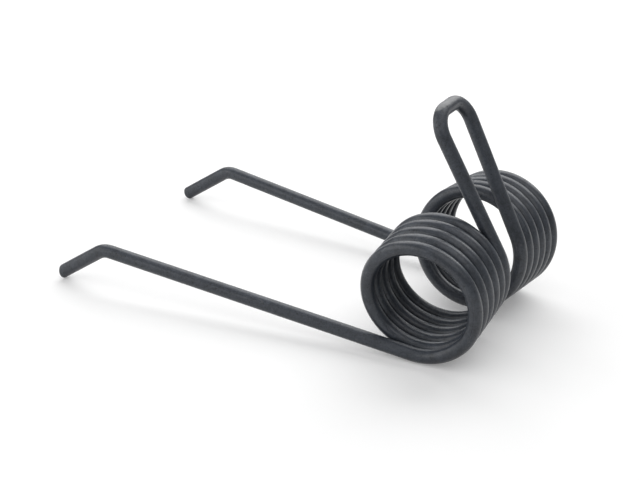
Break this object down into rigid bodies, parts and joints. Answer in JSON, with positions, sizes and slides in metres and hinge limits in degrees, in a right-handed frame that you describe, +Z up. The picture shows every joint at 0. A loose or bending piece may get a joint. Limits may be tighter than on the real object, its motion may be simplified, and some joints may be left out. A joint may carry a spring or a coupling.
{
  "type": "scarifier spring tine",
  "caption": "Double torsion spring tine bent from one round wire: a hairpin mounting loop between two close-wound coils, and two long arms with bent tips.",
  "frame": {"origin": "midway between the two coils, on the axis of the straight shaft that fits through both", "axes": "+Y along the shaft through the coils, the arms reach towards -X, +Z up from the surface that the tine stands on"},
  "size_m": [0.134, 0.0718, 0.0658],
  "materials": {
    "black_coating": "satin black coating on spring steel wire"
  },
  "bodies": {
    "root": {"spring_tine": "black_coating"}
  },
  "joints": []
}
